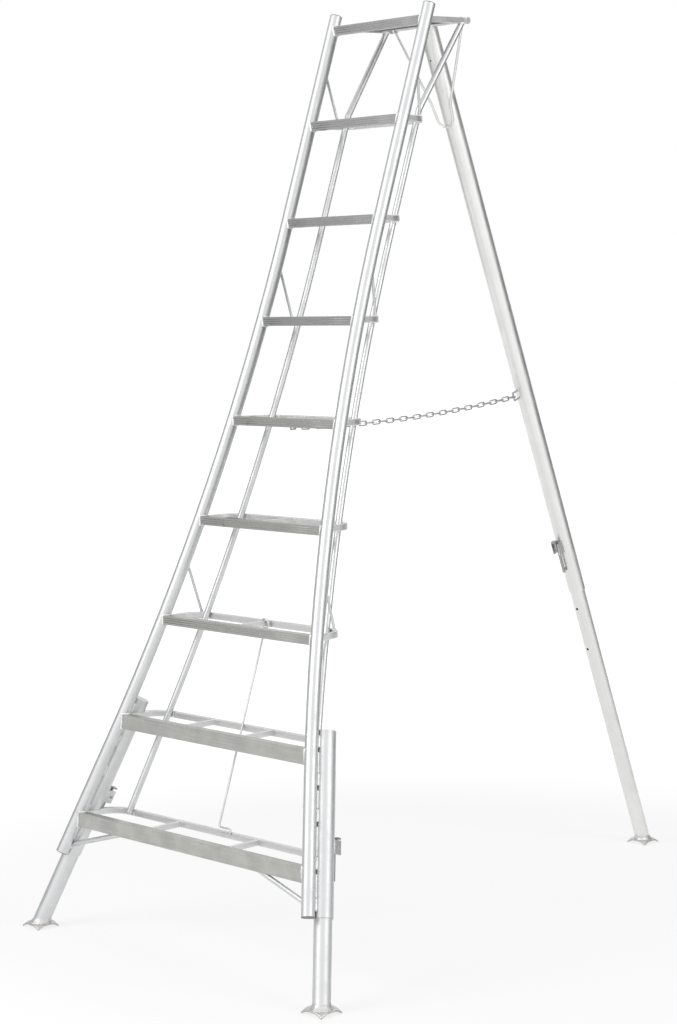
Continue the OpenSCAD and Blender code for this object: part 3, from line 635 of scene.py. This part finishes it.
def ring_on_plane(centre, axis, radius, plane_point, plane_normal, steps=RING_STEPS):
    """The outline of a round rod where it meets a plane."""
    u = axis.orthogonal().normalized()
    v = axis.cross(u)
    result = []
    for i in range(steps):
        a = 2 * math.pi * i / steps
        start = centre + radius * (u * math.cos(a) + v * math.sin(a))
        t = (plane_point - start).dot(plane_normal) / axis.dot(plane_normal)
        result.append(start + axis * t)
    return result


def ring_on_cylinder(centre, axis, radius, cylinder):
    """The outline of a round rod where it meets a cylinder ahead of it."""
    u = axis.orthogonal().normalized()
    v = axis.cross(u)
    result = []
    for i in range(SMALL_RING_STEPS):
        a = 2 * math.pi * i / SMALL_RING_STEPS
        found = hit(centre + radius * (u * math.cos(a) + v * math.sin(a)), axis, cylinder)
        if found:
            result.append(found)
    return result


def over_hoop(k, place, margin):
    """Whether a place in a tread's frame lies over the bar of its hoop."""
    run = stile_span(slope_at(k)) - HOOP_IN - HOOP_BEND_R
    if place.x <= run:
        return place.y > hoop_edge - margin
    return abs(math.hypot(place.x - run, place.y - arm_len) - HOOP_BEND_R) < HOOP_T / 2 + margin


# Stringers: in the notches of the upper hoops, and along the inner faces of the lower ones
STRINGER_BEAD = 0.0024
NOTCH_MARGIN = 0.0015
FLANK_SHARE = 0.72
FLANK_ENDS = (0.12, 0.88)
for k in range(1, TREADS + 1):
    at = tread_frame(k)
    cross_d = slope_at(k) - hoop_edge * math.sin(lean_on_tread)
    x = stringer_span(cross_d)
    lines = []
    if x > stile_span(slope_at(k)) - HOOP_IN - HOOP_BEND_R:
        turn = turned(-turn_on(cross_d, STRINGER_RADIUS, STRINGER_SPLAY), "Y")
        local = ladder_plane @ shifted(x, stringer_back, -cross_d) @ turn
        axis = local.to_3x3() @ UP
        upright = at.to_3x3() @ UP
        for z in (0, -HOOP_H):
            face = at @ Vector((0, 0, z))
            ring = ring_on_plane(local.translation, axis, STRINGER_R, face, upright,
                                 FINE_RING_STEPS)
            on = [over_hoop(k, at.inverted() @ p, NOTCH_MARGIN) for p in ring]
            for first in [i for i in range(len(ring)) if on[i] and not on[i - 1]]:
                length = next(n for n in range(len(ring)) if not on[(first + n) % len(ring)])
                lines.append([ring[(first + n) % len(ring)] for n in range(length)])
    else:
        for flank in (-1, 1):
            out = x + flank * STRINGER_R * FLANK_SHARE
            back = hoop_edge - STRINGER_BEAD * FLANK_SHARE
            lines.append([at @ Vector((out, back, -HOOP_H * share)) for share in FLANK_ENDS])
    for side in SIDES:
        for line in lines:
            bead("ladder_frame", [mirrored(side) @ p for p in line], STRINGER_BEAD)

BRACE_BEAD = 0.0019
for k in BRACE_TREADS:
    from_d = slope_at(k - 1 + BRACE_TOP_SHARE)
    top = ladder_plane @ Vector((stile_span(from_d), 0, -from_d))
    low_x = stringer_span(slope_at(k)) + BRACE_OUT
    arm = stile_span(slope_at(k)) - HOOP_IN
    bow = max(0, low_x - arm + HOOP_BEND_R)
    low_y = arm_len + math.sqrt(HOOP_BEND_R ** 2 - bow ** 2)
    at = tread_frame(k)
    foot = at @ Vector((low_x, low_y, -HOOP_H / 2))
    axis = (top - foot).normalized()
    upper = ring_on_cylinder(foot, axis, BRACE_R, stile_cylinder(from_d))
    lower = ring_on_plane(foot, axis, BRACE_R, at.translation, at.to_3x3() @ UP)
    for side in SIDES:
        bead("ladder_frame", [mirrored(side) @ p for p in upper], BRACE_BEAD, True)
        bead("ladder_frame", [mirrored(side) @ p for p in lower], BRACE_BEAD, True)

STRUT_BEAD = 0.0022
from_d = stile_end - STRUT_UP / math.cos(LEAN)
outer = ladder_plane @ Vector((stile_span(from_d), STILE_R, -from_d))
at = tread_frame(TREADS)
inner_x = stile_span(slope_at(TREADS)) - STRUT_RUN
inner = at @ Vector((inner_x, BAR_DEPTH / 2 - BAR_FRONT, 2 * STRUT_R - LOW_BAR_H))
axis = (inner - outer).normalized()
under = at @ Vector((0, 0, -LOW_BAR_H))
loop = ring_on_plane(outer, axis, STRUT_R, under, at.to_3x3() @ UP)
for side in SIDES:
    bead("ladder_frame", [mirrored(side) @ p for p in loop], STRUT_BEAD, True)

# Both grooves between a stile and its sleeve: stitches, and a thin root run between them,
# open under each stitch
STITCH_BEAD = 0.0042
STITCH_LEN = 0.036
STITCH_SHARES = [0.064, 0.283, 0.535, 0.730, 0.936]
ROOT_BEAD = 0.0030
ROOT_OPEN = 0.012
SUNK_SHARE = 0.55
sleeve_across = Vector((sleeve_way.y, -sleeve_way.x, 0))


def groove_bead(side, flank, low, high, radius):
    """A bead sunk into the groove between a stile and its sleeve, from one height to another."""
    near, far = STILE_R + radius * SUNK_SHARE, SLEEVE_R + radius * SUNK_SHARE
    along = (near ** 2 - far ** 2 + sleeve_off ** 2) / (2 * sleeve_off)
    aside = math.sqrt(near ** 2 - along ** 2)
    local = sleeve_way * along + sleeve_across * aside * flank
    line = [mirrored(side) @ (stile_foot @ (local + Vector((0, 0, z)))) for z in (low, high)]
    bead("ladder_frame", line, radius)


stitches = [(SLEEVE_LEN * share - STITCH_LEN / 2, SLEEVE_LEN * share + STITCH_LEN / 2)
            for share in STITCH_SHARES]
for side in SIDES:
    for flank in (-1, 1):
        for low, high in stitches:
            groove_bead(side, flank, low, high, STITCH_BEAD)
        for below, above in zip(stitches, stitches[1:]):
            groove_bead(side, flank, below[1], above[0] - ROOT_OPEN, ROOT_BEAD)

# Feet: a square plate with its corners turned down, and a flared fillet up to the leg
FOOT_T = 0.004
FOOT_STEPS = 40
CLAW_SHARE = 0.74
CLAW_EASE = 0.006
FILLET_OUT = 0.009
FILLET_UP = 0.016
FILLET_SINK = 0.001
FILLET_RINGS = 7
FILLET_SIDES = 64
FILLET_RIPPLE = 0.0007
FILLET_RIPPLES = 19


def foot_plate(bm, low, high):
    """A plate as wide as a box, level in the middle; its corners bend down to the box's floor."""
    middle = (low + high) / 2
    half = (high.x - low.x) / 2
    fold = 2 * half * CLAW_SHARE
    drop = (high.z - low.z - FOOT_T) / (2 * half - fold)
    layers = []
    for under in (0, FOOT_T):
        grid = []
        for i in range(FOOT_STEPS + 1):
            row = []
            for j in range(FOOT_STEPS + 1):
                x, y = half * (2 * i / FOOT_STEPS - 1), half * (2 * j / FOOT_STEPS - 1)
                past = abs(x) + abs(y) - fold
                bent = (past + math.sqrt(past ** 2 + CLAW_EASE ** 2)) / 2
                z = max(low.z + FOOT_T - under, high.z - under - drop * bent)
                row.append(bm.verts.new((middle.x + x, middle.y + y, z)))
            grid.append(row)
        layers.append(grid)
    top, base = layers
    last = FOOT_STEPS
    for i in range(last):
        for j in range(last):
            bm.faces.new((top[i][j], top[i + 1][j], top[i + 1][j + 1], top[i][j + 1]))
            bm.faces.new((base[i][j], base[i][j + 1], base[i + 1][j + 1], base[i + 1][j]))
    for a in range(last):
        for (i, j), (m, n) in (((a, 0), (a + 1, 0)), ((a, last), (a + 1, last)),
                               ((0, a), (0, a + 1)), ((last, a), (last, a + 1))):
            bm.faces.new((top[i][j], base[i][j], base[m][n], top[m][n]))


def foot_fillet(bm, local, height):
    """A flared and rippled fillet round a leg, from a height upwards."""
    axis = (local.to_3x3() @ UP).normalized()
    rings = []
    for i in range(FILLET_RINGS + 1):
        up = i / FILLET_RINGS
        level = Vector((0, 0, height + FILLET_UP * up))
        centre = local.translation + axis * ((level.z - local.translation.z) / axis.z)
        outline = ring_on_plane(local.translation, axis, LEG_R, level, UP, FILLET_SIDES)
        ring = []
        for n, p in enumerate(outline):
            wave = math.cos(2 * math.pi * FILLET_RIPPLES * n / FILLET_SIDES)
            flare = FILLET_OUT * (1 - up) ** 2 + FILLET_RIPPLE * (1 - up) * wave
            ring.append(bm.verts.new(p + (p - centre).normalized() * flare))
        rings.append(ring)
    for low, high in zip(rings, rings[1:]):
        for n in range(FILLET_SIDES):
            m = (n + 1) % FILLET_SIDES
            bm.faces.new((low[n], low[m], high[m], high[n]))
    bm.faces.new(list(reversed(rings[0])))
    bm.faces.new(rings[-1])


for body, foot_node, local in (
    ("left_leg", "left_foot", mirrored(-1) @ leg_frame),
    ("right_leg", "right_foot", leg_frame),
    ("pole_leg", "pole_foot", pole_frame),
):
    low, high = (Vector(corner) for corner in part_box(foot_node))
    bm = bmesh.new()
    foot_plate(bm, low, high)
    plate = piece(foot_node + "_plate", bm, body, foot_metal)
    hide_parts(foot_node)
    bm = bmesh.new()
    foot_fillet(bm, local, high.z - FILLET_SINK)
    piece(foot_node + "_fillet", bm, body, fillet_metal)

# Platform: rails on the front bar, and stringers under the rails
at = tread_frame(0)
for side in SIDES:
    loop = [at @ Vector((side * x, bar_back, z))
            for x, z in box_outline(RAIL_X - RAIL_W / 2, RAIL_X + RAIL_W / 2, -RAIL_H, 0)]
    bead("ladder_frame", loop, TIE_BEAD, True)
kink_slope = slope_at(1) - hoop_edge * math.sin(lean_on_tread) - HOOP_H
kink = ladder_plane @ Vector((STRINGER_HALF, stringer_back, -kink_slope))
stringer_top = at @ Vector((RAIL_X, HINGE_BACK - DECK_CLEAR / 2, -RAIL_H))
loop = ring_on_plane(kink, (stringer_top - kink).normalized(), STRINGER_R, stringer_top,
                     at.to_3x3() @ UP)
for side in SIDES:
    bead("ladder_frame", [mirrored(side) @ p for p in loop], HOOP_BEAD, True)

# Lock brackets: a bead down the outside of each ear
LOCK_BEAD = 0.0020
LOCK_SUNK = 0.5
LOCK_REACH = 0.46
ear_x = EAR_GAP / 2 + EAR_T
ear_y = math.sqrt(SLEEVE_R ** 2 - ear_x ** 2) + LOCK_BEAD * LOCK_SUNK
locks = {"left": (mirrored(-1) @ leg_lock, "ladder_frame"),
         "right": (leg_lock, "ladder_frame"),
         "pole": (pole_lock, "pole")}
for local, body in locks.values():
    for flank in (-1, 1):
        ends = [local @ Vector((flank * ear_x, ear_y, end * LOCK_REACH * EAR_H))
                for end in (-1, 1)]
        bead(body, ends, LOCK_BEAD)

# Staple on the pole and the chain's bow under its tie
STAPLE_BEAD = 0.0018
pole_cylinder = (pole_frame.translation, pole_way, SLEEVE_R)
for end in (-1, 1):
    start = pole_frame @ Vector((0, -SLEEVE_R - STAPLE_OUT, -STAPLE_DOWN + end * STAPLE_H / 2))
    way = pole_frame.to_3x3() @ Vector((0, 1, 0))
    bead("pole", ring_on_cylinder(start, way, STAPLE_D / 2, pole_cylinder), STAPLE_BEAD, True)
at = tread_frame(CHAIN_TREAD)
for end in (-1, 1):
    centre = at @ Vector((0, ANCHOR_Y - ANCHOR_W / 2 + end * ANCHOR_W / 2, -TIE_H))
    upright = at.to_3x3() @ UP
    ring = ring_on_plane(centre, upright, ANCHOR_D / 2, centre, upright)
    bead("ladder_frame", ring, STAPLE_BEAD, True)

for body, bm in welds.items():
    piece(body + "_welds", bm, body, weld)


# Ribs along the faces of the upper front bars

RIB_R = 0.0011
RIB_SHARES = [0.26, 0.50, 0.74]
RIB_SHORT = 0.0115
RIB_SIDES = 8
bm = bmesh.new()
for k in range(LOW_TREAD):
    at = tread_frame(k)
    half = stile_span(slope_at(k)) - RIB_SHORT
    for share in RIB_SHARES:
        z = -BAR_H * share
        line = [at @ Vector((half * part, -BAR_FRONT, z)) for part in (-1, -0.5, 0, 0.5, 1)]
        swept(bm, line, [RIB_R] * len(line), RIB_SIDES)
piece("bar_ribs", bm, "ladder_frame", bar_metal)


# Rivet heads on the latch pivots

RIVET_R = 0.0052
RIVET_H = 0.0026
RIVET_RINGS = 5
RIVET_SIDES = 24
RIVET_TIP = 0.08
pivot_y = SLEEVE_R + PIVOT_OUT
for key, (local, body) in locks.items():
    bm = bmesh.new()
    for flank in (-1, 1):
        rim = flank * ear_x
        path = []
        radii = []
        for i in range(RIVET_RINGS + 1):
            a = math.pi / 2 * i / RIVET_RINGS
            path.append(local @ Vector((rim + flank * RIVET_H * math.sin(a), pivot_y, 0)))
            radii.append(max(RIVET_R * math.cos(a), RIVET_R * RIVET_TIP))
        swept(bm, path, radii, RIVET_SIDES)
    piece(key + "_rivets", bm, body, latch_steel)


# Latch springs

SPRING_STEPS = 28
SPRING_SIDES = 10
spring_room = (EAR_GAP - LATCH_W) / 2
spring_pitch = (spring_room - 2 * WELD_GAP - SPRING_WIRE) / SPRING_TURNS
spring_x = LATCH_W / 2 + WELD_GAP + SPRING_WIRE / 2
for key, (local, body) in locks.items():
    bm = bmesh.new()
    for flank in (-1, 1):
        path = []
        for i in range(SPRING_TURNS * SPRING_STEPS + 1):
            a = 2 * math.pi * i / SPRING_STEPS
            x = flank * (spring_x + spring_pitch * i / SPRING_STEPS)
            path.append(Vector((x, pivot_y + SPRING_R * math.cos(a), SPRING_R * math.sin(a))))
        tail = Vector((0, 0, SPRING_WIRE))
        path = [path[0] - tail] + path + [path[-1] + tail]
        swept(bm, [local @ p for p in path], [SPRING_WIRE / 2] * len(path), SPRING_SIDES)
    spring = piece(key + "_spring_coils", bm, body, latch_steel)
    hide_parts(key + "_latch_spring")


# Chain: links along a sagging line from the anchor to the pole's staple; each link's share of the
# fold is worked out but not used

LINK_STEPS = 14
BLEND_REACH = 40
LINK_SIDES = 12
chain_from = tread_frame(CHAIN_TREAD) @ Vector((0, ANCHOR_Y, -TIE_H - ANCHOR_DROP))
chain_to = pole_frame @ Vector((0, -SLEEVE_R - STAPLE_OUT, -STAPLE_DOWN))
chain_run = chain_to - chain_from
chain_span = chain_run.length
link_count = 2 * round((chain_span / CHAIN_PITCH - 1) / 2)
end_room = ANCHOR_D / 2 + STAPLE_D / 2 + 2 * (CHAIN_BAR_GAP - LINK_GAP)
link_pitch = (chain_span + end_room) / (link_count + 1)
link_bow = (LINK_W - CHAIN_WIRE) / 2
link_side = link_pitch + 2 * LINK_GAP + 2 * CHAIN_WIRE - LINK_W


def link_path():
    """The wire of one link, its length along X."""
    path = []
    for end in (1, -1):
        for i in range(LINK_STEPS + 1):
            a = math.pi * i / LINK_STEPS - math.pi / 2
            x = link_side / 2 + link_bow * math.cos(a)
            path.append(Vector((end * x, end * link_bow * math.sin(a), 0)))
    return path


def angle_at(place):
    """Angle of a place about the hinge, growing from the ladder to the pole."""
    return math.atan2(place.y - hinge.y, hinge.z - place.z)


def fold_share(place):
    """Share of the fold that brings a place in line with the folded staple; none ahead of that."""
    folded = angle_at(chain_to) - fold_most
    return min(1, max(0, (angle_at(place) - folded) / fold_most))


fold_most = math.radians(max(joints["pole_fold"]["range_deg"]))
chain_way = chain_run.normalized()
first = (link_pitch / 2 + LINK_GAP - CHAIN_BAR_GAP - ANCHOR_D / 2) / chain_span
for i in range(link_count + 1):
    share = first + i * link_pitch / chain_span
    middle = chain_from + chain_run * share - Vector((0, 0, 4 * CHAIN_SAG * share * (1 - share)))
    way = chain_run - Vector((0, 0, 4 * CHAIN_SAG * (1 - 2 * share)))
    facing_way = turned(math.atan2(way.z, way.y), "X") @ turned(math.pi / 2, "Z")
    local = Matrix.Translation(middle) @ facing_way
    if i % 2:
        local = local @ turned(math.pi / 2, "X")
    path = [local @ p for p in link_path()]
    bm = bmesh.new()
    swept(bm, path, [CHAIN_WIRE / 2] * len(path), LINK_SIDES, True)
    link = piece("chain_link_%02d" % (i + 1), bm, None, zinc)
    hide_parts("chain")
    # Where a smoothstep along the blend's reach gives this link's share
    turn_share = 0.5 - math.sin(math.asin(1 - 2 * fold_share(middle)) / 3)
    start = middle - chain_way * BLEND_REACH * turn_share
    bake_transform(link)


# Stage: a white floor that shows a share of the shadows near the ladder, in a white room

WHITE = tone(1, 1, 1)
FLOOR_HALF = 40
FLOOR_Z = -0.0004
FLOOR_TONE = tone(0.92, 0.92, 0.92)
FLOOR_ROUGH = 0.9
FLOOR_GLOW = 1.12
SHADOW_NEAR = 1.4
SHADOW_FAR = 3.2
SHADOW_SHARE = 0.35
AMBIENT = 0.50


def level_sheet(name, half_x, half_y, height=0):
    """A level rectangle about the origin."""
    mesh = bpy.data.meshes.new(name)
    corners = [(-half_x, -half_y, height), (half_x, -half_y, height),
               (half_x, half_y, height), (-half_x, half_y, height)]
    mesh.from_pydata(corners, [], [(0, 1, 2, 3)])
    obj = bpy.data.objects.new(name, mesh)
    bpy.context.scene.collection.objects.link(obj)
    return obj


def seen_rays(tree):
    """1 on rays from the camera and on reflected and refracted ones, 0 on the others."""
    rays = tree.nodes.new("ShaderNodeLightPath").outputs
    seen = rays["Is Camera Ray"]
    for kind in ("Is Glossy Ray", "Is Transmission Ray"):
        either = tree.nodes.new("ShaderNodeMath")
        either.operation = "MAXIMUM"
        tree.links.new(seen, either.inputs[0])
        tree.links.new(rays[kind], either.inputs[1])
        seen = either.outputs[0]
    return seen


def send_mix(tree, factor, first, second, output):
    """Sends the mix of two shaders to a tree's output node."""
    mix = tree.nodes.new("ShaderNodeMixShader")
    for i, source in enumerate((factor, first, second)):
        tree.links.new(source, mix.inputs[i])
    tree.links.new(mix.outputs[0], tree.nodes[output].inputs["Surface"])


floor = level_sheet("floor", FLOOR_HALF, FLOOR_HALF, FLOOR_Z)
s = Shader("floor_white")
s.main.inputs["Base Color"].default_value = FLOOR_TONE
s.main.inputs["Roughness"].default_value = FLOOR_ROUGH
s.main.inputs["Specular IOR Level"].default_value = 0.0
glow = s.add("ShaderNodeEmission", {"Color": WHITE, "Strength": FLOOR_GLOW})
reach = s.add("ShaderNodeVectorMath", {0: s.place}, operation="LENGTH").outputs["Value"]
shadow = s.ranged(reach, SHADOW_NEAR, SHADOW_FAR, 1 - SHADOW_SHARE, 1)
white = s.math("MULTIPLY", seen_rays(s.tree), shadow)
send_mix(s.tree, white, s.main.outputs[0], glow.outputs[0], "Material Output")
floor.data.materials.append(s.material)

world = bpy.data.worlds.new("studio")
bpy.context.scene.world = world
world.use_nodes = True
tree = world.node_tree
plain = tree.nodes["Background"]
paper = tree.nodes.new("ShaderNodeBackground")
for node, strength in ((plain, AMBIENT), (paper, 1.0)):
    node.inputs["Color"].default_value = WHITE
    node.inputs["Strength"].default_value = strength
send_mix(tree, seen_rays(tree), plain.outputs[0], paper.outputs[0], "World Output")

# Lamps and cards: places and sizes in metres, power in watts
MIDDLE = (0, 0, 1.4)
KEY_PLACE, KEY_SIZE, KEY_POWER = (-1.8, -6.2, 4.6), (4.0, 3.0), 150
FILL_PLACE, FILL_SIZE, FILL_POWER = (6.0, 0.5, 4.2), (3.0, 3.0), 80
LEFT_FLAG, LEFT_FLAG_SIZE, LEFT_FLAG_GREY = (-3.9, -2.1, 2.3), (6.0, 5.0), 0.40
RIGHT_FLAG, RIGHT_FLAG_SIZE, RIGHT_FLAG_GREY = (2.5, 4.3, 2.3), (6.6, 5.0), 0.20


def facing(place, face):
    """The turn that points one face of an object at the middle of the ladder."""
    return (Vector(MIDDLE) - Vector(place)).to_track_quat(face, "Y")


def lamp(name, place, size, power):
    data = bpy.data.lights.new(name, "AREA")
    data.shape = "RECTANGLE"
    data.size, data.size_y = size
    data.energy = power
    obj = bpy.data.objects.new(name, data)
    bpy.context.scene.collection.objects.link(obj)
    obj.location = place
    obj.rotation_mode = "QUATERNION"
    obj.rotation_quaternion = facing(place, "-Z")


def flag(name, place, turn, size, grey):
    """A grey card that only metal sees, as a studio sets to draw the edges of bright tubes."""
    obj = level_sheet(name, size[0] / 2, size[1] / 2)
    obj.location = place
    obj.rotation_mode = "QUATERNION"
    obj.rotation_quaternion = turn
    card = Shader(name + "_card")
    glow = card.add("ShaderNodeEmission", {"Color": tone(grey, grey, grey), "Strength": 1.0})
    card.tree.links.new(glow.outputs[0], card.tree.nodes["Material Output"].inputs["Surface"])
    obj.data.materials.append(card.material)
    obj.visible_camera = False
    obj.visible_diffuse = False
    obj.visible_shadow = False
    obj.visible_transmission = False


lamp("key", KEY_PLACE, KEY_SIZE, KEY_POWER)
lamp("fill", FILL_PLACE, FILL_SIZE, FILL_POWER)
flag("left_flag", LEFT_FLAG, facing(LEFT_FLAG, "Z"), LEFT_FLAG_SIZE, LEFT_FLAG_GREY)
flag("right_flag", RIGHT_FLAG, facing(RIGHT_FLAG, "Z"), RIGHT_FLAG_SIZE, RIGHT_FLAG_GREY)

# A narrow card along the inside of the left stile draws its shaded half
NEAR_FLAG_X = -0.155
NEAR_FLAG_FRONT = -0.012
NEAR_FLAG_BACK = 0.040
NEAR_FLAG_TOP = 0.040
NEAR_FLAG_END = 1.800
NEAR_FLAG_GREY = 0.22
near_size = (NEAR_FLAG_BACK - NEAR_FLAG_FRONT, NEAR_FLAG_END - NEAR_FLAG_TOP)
near_place = ladder_plane @ Vector((NEAR_FLAG_X, (NEAR_FLAG_BACK + NEAR_FLAG_FRONT) / 2,
                                    -(NEAR_FLAG_END + NEAR_FLAG_TOP) / 2))
near_turn = (ladder_plane @ turned(math.pi / 2, "Z") @ turned(math.pi / 2, "X")).to_quaternion()
flag("near_flag", near_place, near_turn, near_size, NEAR_FLAG_GREY)

# Camera at the photograph's place; its sensor and lens are in millimetres
CAMERA_PLACE = (4.7342, top_y - 4.8834, 1.8080)
CAMERA_TURN = math.radians(45.159)
CAMERA_PITCH = math.radians(-4.570)
CAMERA_SENSOR = 36
CAMERA_LENS = 77.25
CAMERA_REACH = 200
camera = bpy.data.objects.new("camera", bpy.data.cameras.new("camera"))
bpy.context.scene.collection.objects.link(camera)
camera.data.sensor_width = CAMERA_SENSOR
camera.data.lens = CAMERA_LENS
camera.data.clip_end = CAMERA_REACH
camera.location = CAMERA_PLACE
view_way = Vector((-math.sin(CAMERA_TURN) * math.cos(CAMERA_PITCH),
                   math.cos(CAMERA_TURN) * math.cos(CAMERA_PITCH),
                   math.sin(CAMERA_PITCH)))
camera.rotation_mode = "QUATERNION"
camera.rotation_quaternion = view_way.to_track_quat("-Z", "Y")
bpy.context.scene.camera = camera
bpy.context.scene.view_settings.view_transform = "Standard"
